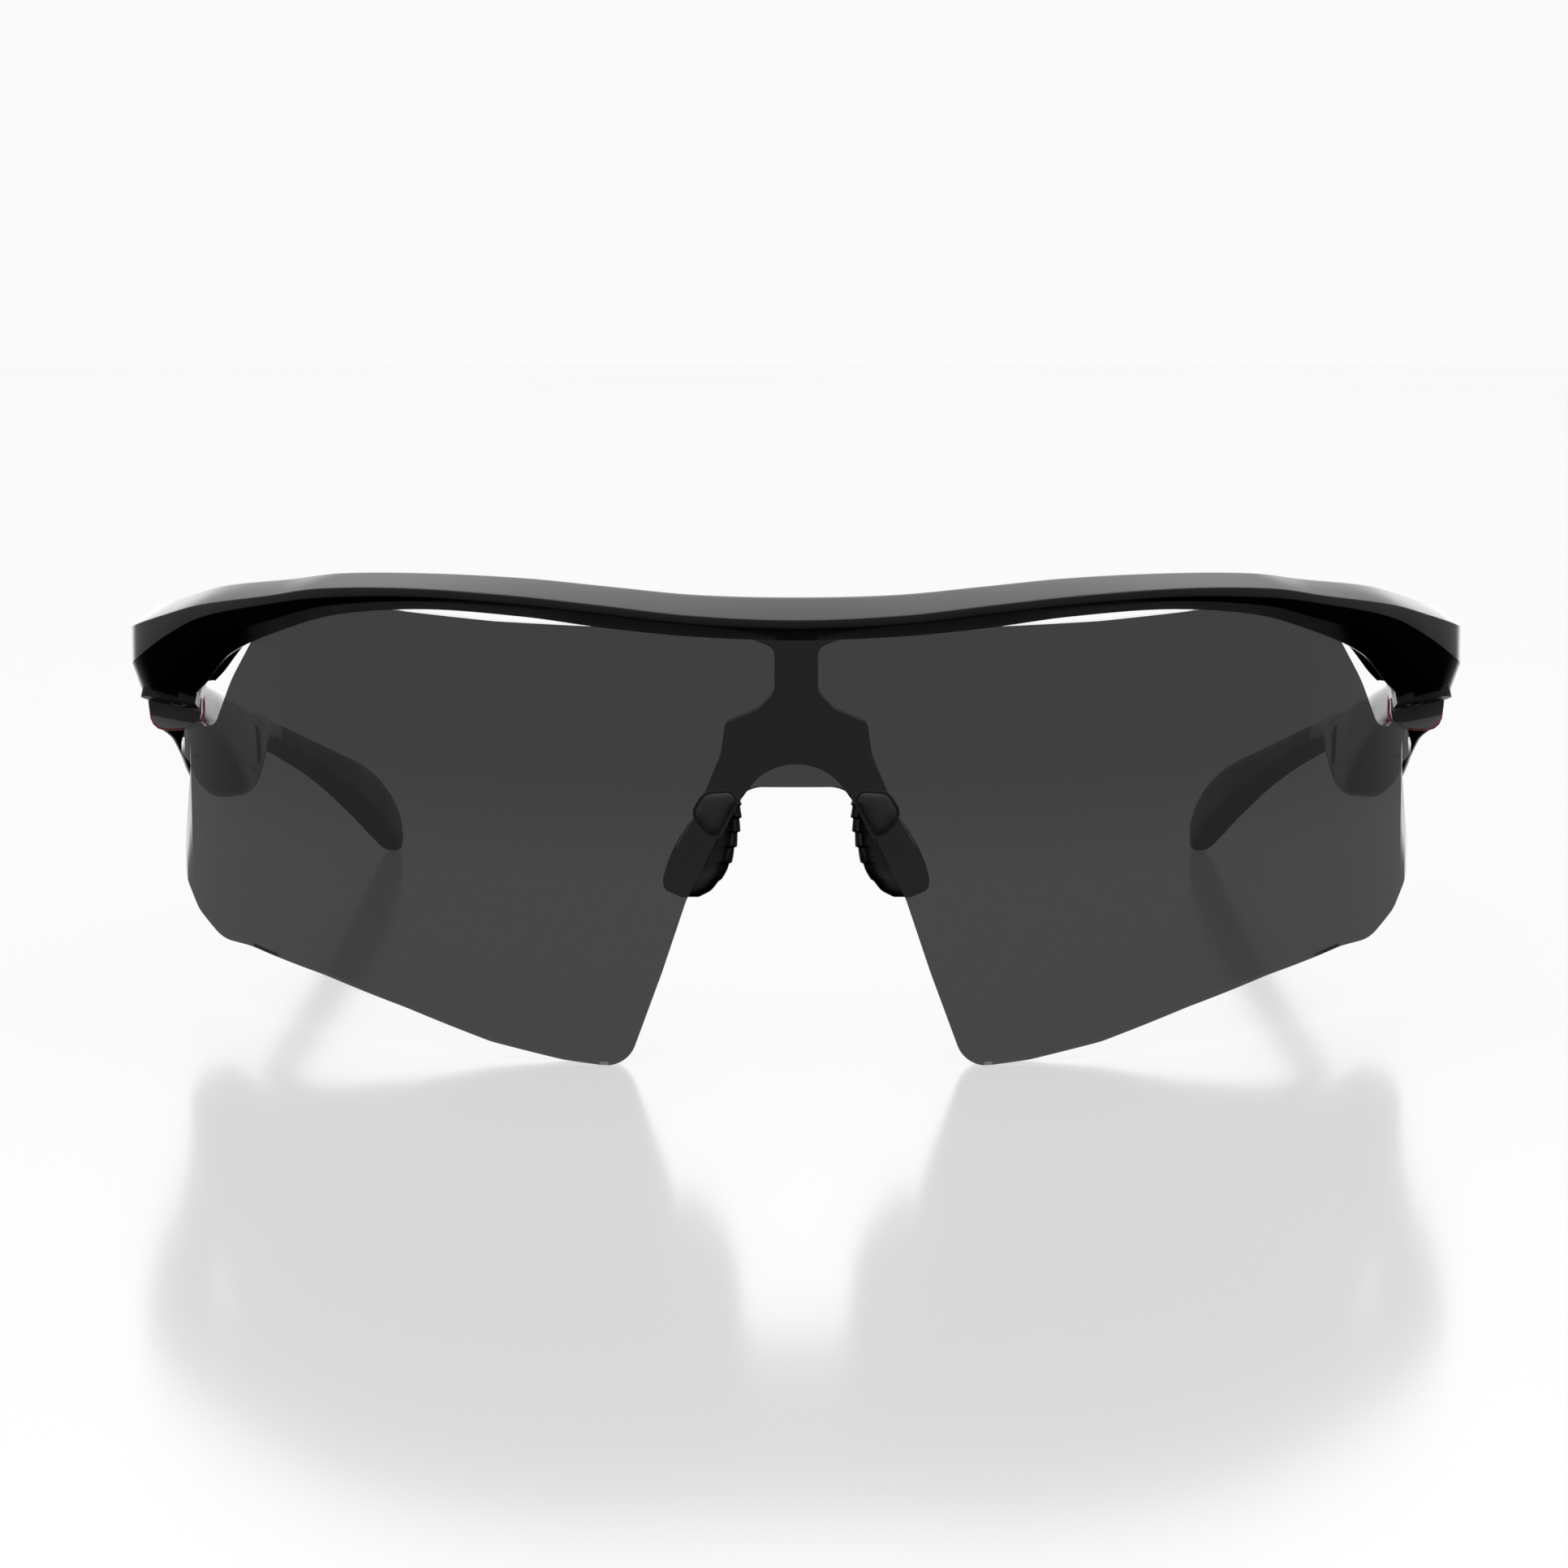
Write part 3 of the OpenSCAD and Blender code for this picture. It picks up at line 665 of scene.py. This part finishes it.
def make_lens():
    """The shield lens: its outline cut from a finely divided curved sheet."""
    m = front_matrix()
    steps = 420
    rings = []
    for j in range(steps + 1):
        turn = math.radians(LENS_END * (2 * j / steps - 1))
        ring = []
        for r, z in ((LENS_R, -5), (LENS_R, 60), (LENS_R - LENS_T, 60), (LENS_R - LENS_T, -5)):
            ring.append((r * math.sin(turn), LENS_R - r * math.cos(turn), z))
        rings.append(ring)
    piece = loft("shield", rings, m)
    corners = LENS + [(-x, z, r) for x, z, r in reversed(LENS) if x > 0]
    carve(piece, [prism("outline", arcs(corners), -5, 60, m, "Y")], "INTERSECT")
    smooth(piece, 30)
    finish_piece(piece, "front", "lens", MATERIALS["lens"])


def on_lens(x, z, r):
    """A point at a distance from the lens's axis, seen from the front at x and z."""
    return (x, LENS_R - math.sqrt(r * r - x * x), z)


def shrunk(points, inset):
    """An outline pulled in towards its middle."""
    middle = sum(points, Vector((0, 0))) / len(points)
    ways = [middle - p for p in points]
    return [p + w.normalized() * min(inset, w.length * 0.9) for p, w in zip(points, ways)]


def make_clip(side):
    """A clip: a rim round a raised, slightly domed panel, and the web through to the bridge."""
    m = mirrored(front_matrix(), side)
    outline = arcs([(5.3, 28.9, 0.9), (9.4, 28.8, 1.7), (10.9, 26.2, 1.7), (8.3, 23.5, 0.9)], 12)
    # Inset from the outline, height above the lens
    steps = [(0, 0.05), (0, 0.4), (0.04, 0.45), (0.12, 0.45), (0.14, 0.25), (0.26, 0.25),
             (0.3, 0.7), (0.36, 0.8), (0.48, 0.84), (1.0, 0.88), (1.6, 0.9)]
    rings = [
        [on_lens(p.x, p.y, LENS_R + up) for p in shrunk(outline, inset)] for inset, up in steps
    ]
    piece = loft("clip_" + side, rings, m)
    web = [(5.5, 28.2), (6.1, 28.2), (8.3, 23.9), (7.7, 23.9)]
    sheet = [[on_lens(x, z, r) for x, z in web] for r in (LENS_R - LENS_T - 0.9, LENS_R + 0.3)]
    carve(piece, [loft("web", sheet, m)], "UNION")
    smooth(piece, 35)
    finish_piece(piece, "front", "lens_clip_" + side, MATERIALS["clip"])


# ---- Nose pads ----


def pad_ring(u, count=40):
    """A ring of the nose pad, with ribs on the face that meets the nose."""
    x, y, z, wide_share, thick_share = along(PAD, u)
    half_w = PAD_W / 2 * wide_share
    half_t = PAD_T / 2 * thick_share
    wide = Vector((0.62, 0.77, -0.12))
    thick = Vector((0.77, -0.62, 0.1))
    saw = (u * PAD_RIBS) % 1
    fade = math.sin(math.pi * min(max((u - 0.05) / 0.9, 0), 1)) ** 0.5
    rib = PAD_RIB_DEPTH * (1 - saw) * min(1, 12 * saw) * fade
    ring = []
    for w, t in squircle(half_w, half_t, count, 0.8):
        if t < 0:
            t += rib * min(1, -t / max(half_t, 0.01))
        if w < 0:
            w += rib * min(1, -w / max(half_w, 0.01)) ** 3
        ring.append(Vector((x, y, z)) + (w + 1.2 * wide_share) * wide + (t + 0.05 * w * w) * thick)
    return ring


def make_nose_pad(side):
    """A soft, ribbed nose pad."""
    steps = 150
    rings = [pad_ring(j / steps) for j in range(steps + 1)]
    piece = loft("pad_" + side, rings, mirrored(front_matrix(), side))
    smooth(piece, 60)
    finish_piece(piece, "front", "nose_pad_" + side, MATERIALS["soft_rubber"])


# ---- Hinge screws ----


def make_screw(side):
    """A screw with a domed, cross-slotted head under the lug."""
    m = mirrored(hinge_matrix(), side)
    low = EAR_LOW
    # Radius, height; the shank follows the head
    profile = [
        (0.15, low - 0.2), (0.5, low - 0.17), (0.85, low - 0.08), (1.05, low + 0.04),
        (1.13, low + 0.14), (SCREW_HEAD_R, low + 0.24), (SCREW_HEAD_R, low + SCREW_HEAD_H),
        (PIN_R, low + SCREW_HEAD_H), (PIN_R, LUG_TOP - 0.1),
    ]
    turns = [2 * math.pi * k / 64 for k in range(64)]
    rings = [[(r * math.cos(a), r * math.sin(a), z) for a in turns] for r, z in profile]
    piece = loft("screw_" + side, rings, m)
    for long, wide in ((0.7, 0.12), (0.12, 0.7)):
        carve(piece, [block("slot", (-long, -wide, low - 1), (long, wide, low + 0.12), m)])
    smooth(piece, 40)
    finish_piece(piece, "front", "hinge_screw_" + side, MATERIALS["screw"])


# ---- Temples ----


def temple_ring(y, inset=0.0):
    """The temple's outline at a distance from the hinge."""
    x, z, half_w, half_h = along(TEMPLE, y)
    outline = squircle(half_w - inset, half_h - inset, 64)
    return [(x + px, y, z + pz) for px, pz in outline]


def temple_solid(name, matrix, start, stop, inset=0.0, steps=70, ends=(0.0, 0.0)):
    """The temple between two distances; ends are the roundings of its first and last edge."""
    places = [(start + (stop - start) * j / steps, inset) for j in range(steps + 1)]
    first, last = ends
    if first:
        places[0:1] = [(start, inset + first), (start + 0.3 * first, inset + 0.3 * first),
                       (start + first, inset)]
    if last:
        places[-1:] = [(stop - last, inset), (stop - 0.3 * last, inset + 0.3 * last),
                       (stop, inset + last)]
    return loft(name, [temple_ring(y, i) for y, i in places], matrix)


def window_outline(play):
    """The opening in the shell's inner side that the cover fills: y, z."""
    corners = [
        (WINDOW_FROM - play, -3.4 - play, 1.2),
        (24, -4.9 - play, 6),
        (WINDOW_TO - 2, -4.6 - play, 1.5),
        (WINDOW_TO + play, 2.4 + play, 1.4),
        (WINDOW_FROM - play, 1.7 + play, 1.4),
    ]
    return fillets(corners, 8)


def port_outline(play):
    """The arch-shaped port in the cover, in front of the speaker: y, z."""
    corners = [
        (33.2 - play, -3.4 - play, 0.6),
        (36.4 + play, -3.4 - play, 0.6),
        (36.8 + play, 1.2 + play, 1.5),
        (33.2 - play, 1.2 + play, 1.5),
    ]
    return fillets(corners, 8)


def make_housing(side):
    """The temple's hollow shell, and the cover over its inner side, with the speaker's port."""
    m = mirrored(pod_matrix(), side)
    body = "temple_" + side

    shell = temple_solid("shell_" + side, m, POD_FROM, SLEEVE_FROM, ends=(0.2, 0.12))
    carve(shell, [
        temple_solid("cavity", m, POD_FROM + 1.2, WINDOW_TO + 1.5, WALL, 40),
        prism("window", window_outline(0.08), -12, -2, m),
        block("plug", (-1, POD_FROM - 1, -1.3), (0.6, POD_FROM + 2, 1.3), m),
    ])
    smooth(shell, 40)
    finish_piece(shell, body, "temple_shell_" + side, MATERIALS["housing"])

    cover = temple_solid("cover_" + side, m, WINDOW_FROM - 1, WINDOW_TO + 1, 0.0, 40)
    carve(cover, [prism("window", window_outline(0), -12, -2, m)], "INTERSECT")
    carve(cover, [
        temple_solid("cavity", m, WINDOW_FROM - 2, WINDOW_TO + 2, WALL, 40),
        prism("port", port_outline(0.05), -12, -2, m),
    ])
    smooth(cover, 40)
    finish_piece(cover, body, "temple_cover_" + side, MATERIALS["cover"])


def make_tip(side):
    """The soft tip, with a rounded front edge where it meets the arm."""
    m = mirrored(pod_matrix(), side)
    start = SLEEVE_FROM + 0.05
    places = [(start, 0.14), (start + 0.05, 0.05), (start + 0.2, 0.0)]
    steps = 90
    # The rings come closer together towards the rounded end
    for j in range(1, steps + 1):
        places.append((start + (TEMPLE_TO - start) * math.sin(math.pi / 2 * j / steps), 0.0))
    piece = loft("tip_" + side, [temple_ring(y, i) for y, i in places], m)
    smooth(piece, 40)
    finish_piece(piece, "temple_" + side, "temple_tip_" + side,
                 MATERIALS["soft_rubber"])


# ---- CAD nodes that keep their shape ----

# Width of the fine rounding on each kind of node, in millimetres
EDGE = {
    "nose_bridge": 0.3,
    "hinge_lug": 0.1,
    "hinge_knuckle": 0.12,
    "contact_tongue": 0.06,
    "contact_socket": 0.06,
    "battery": 0.05,
    "circuit_board": 0.03,
    "speaker": 0.1,
}


def finish_cad_nodes():
    """Gives each node that keeps its CAD shape its material and its fine rounding."""
    for name, node in frame["nodes"].items():
        if name in REBUILT:
            continue
        material = MATERIALS[SLOT_OF[name]]
        if not node.material_slots:
            node.data.materials.append(material)
        for slot in node.material_slots:
            slot.material = material
        kind = name.replace("_left", "").replace("_right", "")
        if kind in EDGE:
            bevel(node, EDGE[kind])


# ---- Floor and light ----

# Metres; the floor's gloss is the share of its mirror
FLOOR_GLOSS = 0.35
ROOM_R = 2.5
ROOM_H = 2.5


def new_shader_tree(name):
    """A material whose surface is put together from several shaders."""
    material = bpy.data.materials.new(name)
    material.use_nodes = True
    nodes = material.node_tree.nodes
    nodes.remove(nodes["Principled BSDF"])
    return material, nodes, material.node_tree.links, nodes["Material Output"]


def make_floor():
    """A pale floor that glows softly, takes faint shadows and mirrors the object out of focus."""
    material, nodes, links, output = new_shader_tree("pale_floor")
    glow = nodes.new("ShaderNodeEmission")
    cloud = noise(nodes, links, 4, 3)
    colour = tint(nodes, links, cloud.outputs["Fac"], (0.955, 0.955, 0.96), (0.965, 0.965, 0.965))
    links.new(colour, glow.inputs["Color"])
    glow.inputs["Strength"].default_value = 0.96
    matt = nodes.new("ShaderNodeBsdfDiffuse")
    matt.inputs["Color"].default_value = (0.07, 0.07, 0.07, 1)
    both = nodes.new("ShaderNodeAddShader")
    links.new(glow.outputs[0], both.inputs[0])
    links.new(matt.outputs[0], both.inputs[1])
    gloss = nodes.new("ShaderNodeBsdfAnisotropic")
    gloss.inputs["Color"].default_value = (0.44, 0.44, 0.44, 1)
    gloss.inputs["Roughness"].default_value = 0.14
    mix = nodes.new("ShaderNodeMixShader")
    mix.inputs["Fac"].default_value = FLOOR_GLOSS
    links.new(both.outputs[0], mix.inputs[1])
    links.new(gloss.outputs[0], mix.inputs[2])
    links.new(mix.outputs[0], output.inputs["Surface"])
    bm = bmesh.new()
    bmesh.ops.create_circle(bm, cap_ends=True, segments=96, radius=ROOM_R)
    floor = link("floor", bpy.data.meshes.new("floor"))
    bm.to_mesh(floor.data)
    bm.free()
    floor.data.materials.append(material)
    return floor


def make_backdrop():
    """A pale wall all round."""
    material, nodes, links, output = new_shader_tree("pale_wall")
    glow = nodes.new("ShaderNodeEmission")
    glow.inputs["Color"].default_value = (0.96, 0.96, 0.962, 1)
    links.new(glow.outputs[0], output.inputs["Surface"])
    bm = bmesh.new()
    bmesh.ops.create_cone(bm, segments=96, radius1=ROOM_R, radius2=ROOM_R, depth=2 * ROOM_H)
    wall = link("backdrop", bpy.data.meshes.new("backdrop"))
    bm.to_mesh(wall.data)
    bm.free()
    wall.data.materials.append(material)
    return wall


def make_stage():
    """The floor and the wall, which light and reflections pass through: the world gives both."""
    for piece in (make_floor(), make_backdrop()):
        piece.visible_glossy = False
        piece.visible_diffuse = False
        piece.visible_shadow = False


def level(nodes, links, source, start, stop, low, high):
    """A smooth step between two values of source."""
    step = nodes.new("ShaderNodeMapRange")
    step.interpolation_type = "SMOOTHSTEP"
    ends = {"From Min": start, "From Max": stop, "To Min": low, "To Max": high}
    for socket, value in ends.items():
        step.inputs[socket].default_value = value
    links.new(source, step.inputs["Value"])
    return step.outputs["Result"]


def combine(nodes, links, operation, a, b):
    """One sum or product of two values."""
    node = nodes.new("ShaderNodeMath")
    node.operation = operation
    links.new(a, node.inputs[0])
    links.new(b, node.inputs[1])
    return node.outputs[0]


def light_scene():
    """Soft studio light: a bright ceiling, a pale back, a dim front and nothing from below."""
    world = bpy.data.worlds.new("studio")
    world.use_nodes = True
    nodes = world.node_tree.nodes
    links = world.node_tree.links
    where = nodes.new("ShaderNodeTexCoord")
    parts = nodes.new("ShaderNodeSeparateXYZ")
    links.new(where.outputs["Generated"], parts.inputs[0])
    y = parts.outputs["Y"]
    z = parts.outputs["Z"]
    front = level(nodes, links, z, -0.4, 0.05, 0.0, 0.34)
    ceiling = level(nodes, links, z, 0.1, 0.95, 0.0, 2.05)
    rear = combine(nodes, links, "MULTIPLY", level(nodes, links, y, 0.84, 0.93, 0.0, 1.5),
                   level(nodes, links, z, -0.6, -0.15, 0.0, 1.0))
    total = combine(nodes, links, "ADD", combine(nodes, links, "ADD", front, ceiling), rear)
    links.new(total, nodes["Background"].inputs["Strength"])
    nodes["Background"].inputs["Color"].default_value = (1, 1, 1, 1)
    bpy.context.scene.world = world
    bpy.context.scene.view_settings.view_transform = "Standard"


# ---- Build ----

KINDS = ("temple_shell_", "temple_cover_", "temple_tip_", "nose_pad_", "lens_clip_", "hinge_screw_")
REBUILT = ["brow_frame", "lens"]
for side in SIDES:
    REBUILT += [kind + side for kind in KINDS]

make_stage()
light_scene()
make_brow()
make_lens()
for side in SIDES:
    make_clip(side)
    make_nose_pad(side)
    make_screw(side)
    make_housing(side)
    make_tip(side)
finish_cad_nodes()
